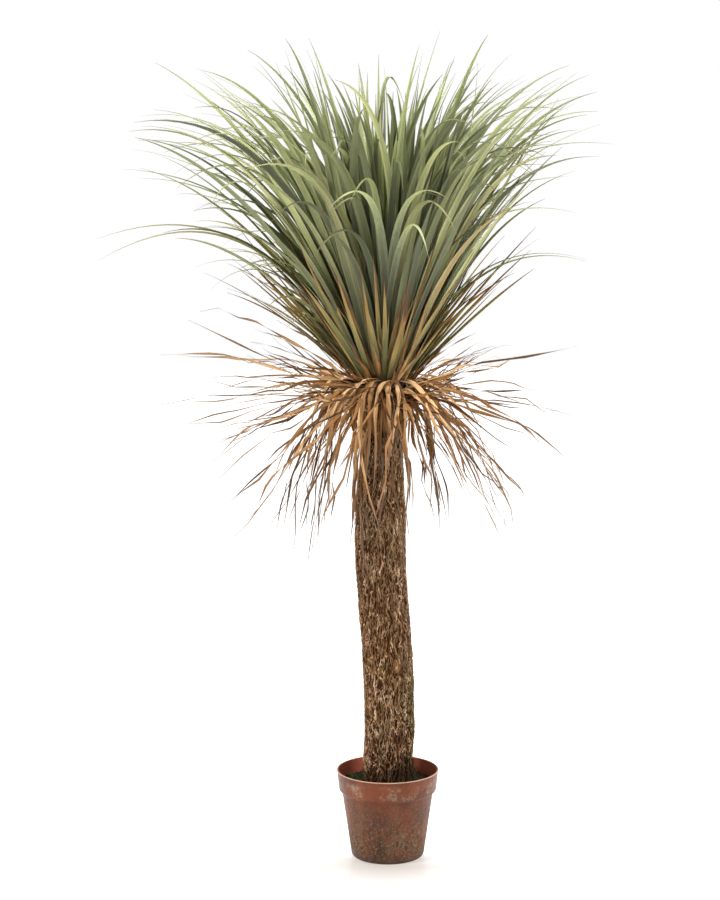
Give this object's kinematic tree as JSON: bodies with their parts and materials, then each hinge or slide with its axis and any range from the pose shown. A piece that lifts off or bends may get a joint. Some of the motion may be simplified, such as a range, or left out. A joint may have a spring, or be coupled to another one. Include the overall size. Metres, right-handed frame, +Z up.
{
  "type": "potted yucca",
  "caption": "Tall potted yucca: a rough upright trunk in a tapered nursery pot, with a head of long arching leaves, a lower layer of yellowing ones and a hanging skirt of dried leaves.",
  "frame": {"origin": "middle of the pot's flat underside", "axes": "+Z up along the trunk, -Y towards the side that faces the viewer, +X to the viewer's right"},
  "size_m": [0.9435, 0.8529, 1.5244],
  "materials": {
    "pot": "matte terracotta colour with grey water stains",
    "soil": "dark crumbly potting soil",
    "bark": "rough fibrous bark",
    "green_leaf": "satin grey-green leaf",
    "yellowing_leaf": "dull yellow-brown leaf",
    "dried_leaf": "dry papery brown leaf"
  },
  "bodies": {
    "root": {"pot": "pot", "soil": "soil", "trunk": "bark", "green_leaves": "green_leaf", "yellowing_leaves": "yellowing_leaf", "dried_leaves": "dried_leaf"}
  },
  "joints": []
}
